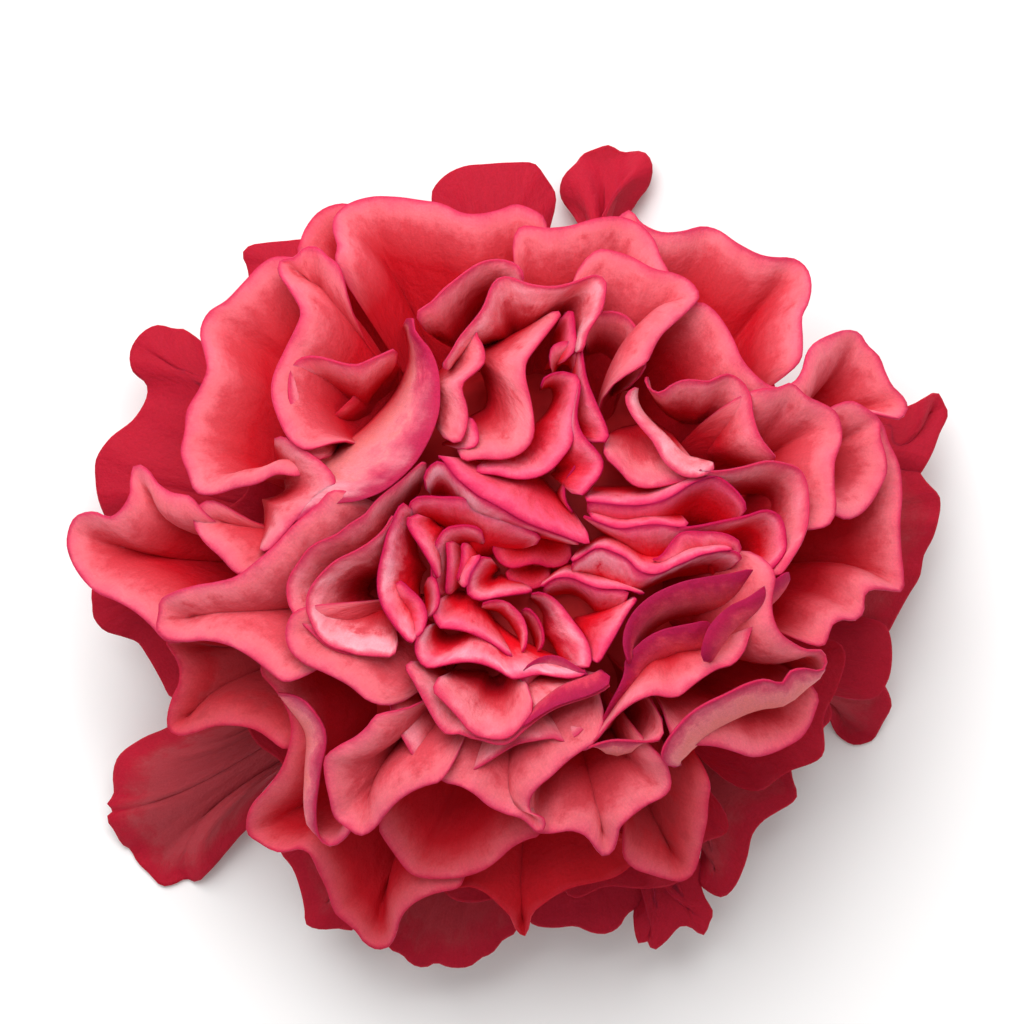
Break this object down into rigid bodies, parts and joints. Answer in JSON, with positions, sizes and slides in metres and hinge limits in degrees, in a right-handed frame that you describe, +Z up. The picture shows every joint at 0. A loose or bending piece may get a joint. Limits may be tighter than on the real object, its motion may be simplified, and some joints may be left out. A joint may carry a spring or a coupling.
{
  "type": "rose bloom",
  "caption": "Very double, ruffled rose bloom cut below its hip: salmon petals edged in magenta over crimson guard petals, with a green calyx, for bouquets and table scenes.",
  "frame": {"origin": "on the surface that the bloom rests on, at the middle of its box", "axes": "+Z up out of the bloom's face, +X to the right and +Y to the top of the picture"},
  "size_m": [0.117, 0.1099, 0.0573],
  "materials": {
    "salmon_petal": "soft petal, pale pink lips with a magenta edge, deep red in the folds",
    "crimson_petal": "velvety crimson petal with a dull pink middle",
    "green_calyx": "matt green sepals, hip and cut stem"
  },
  "bodies": {
    "root": {"petals": "salmon_petal", "guard_petals": "crimson_petal", "calyx": "green_calyx"}
  },
  "joints": []
}
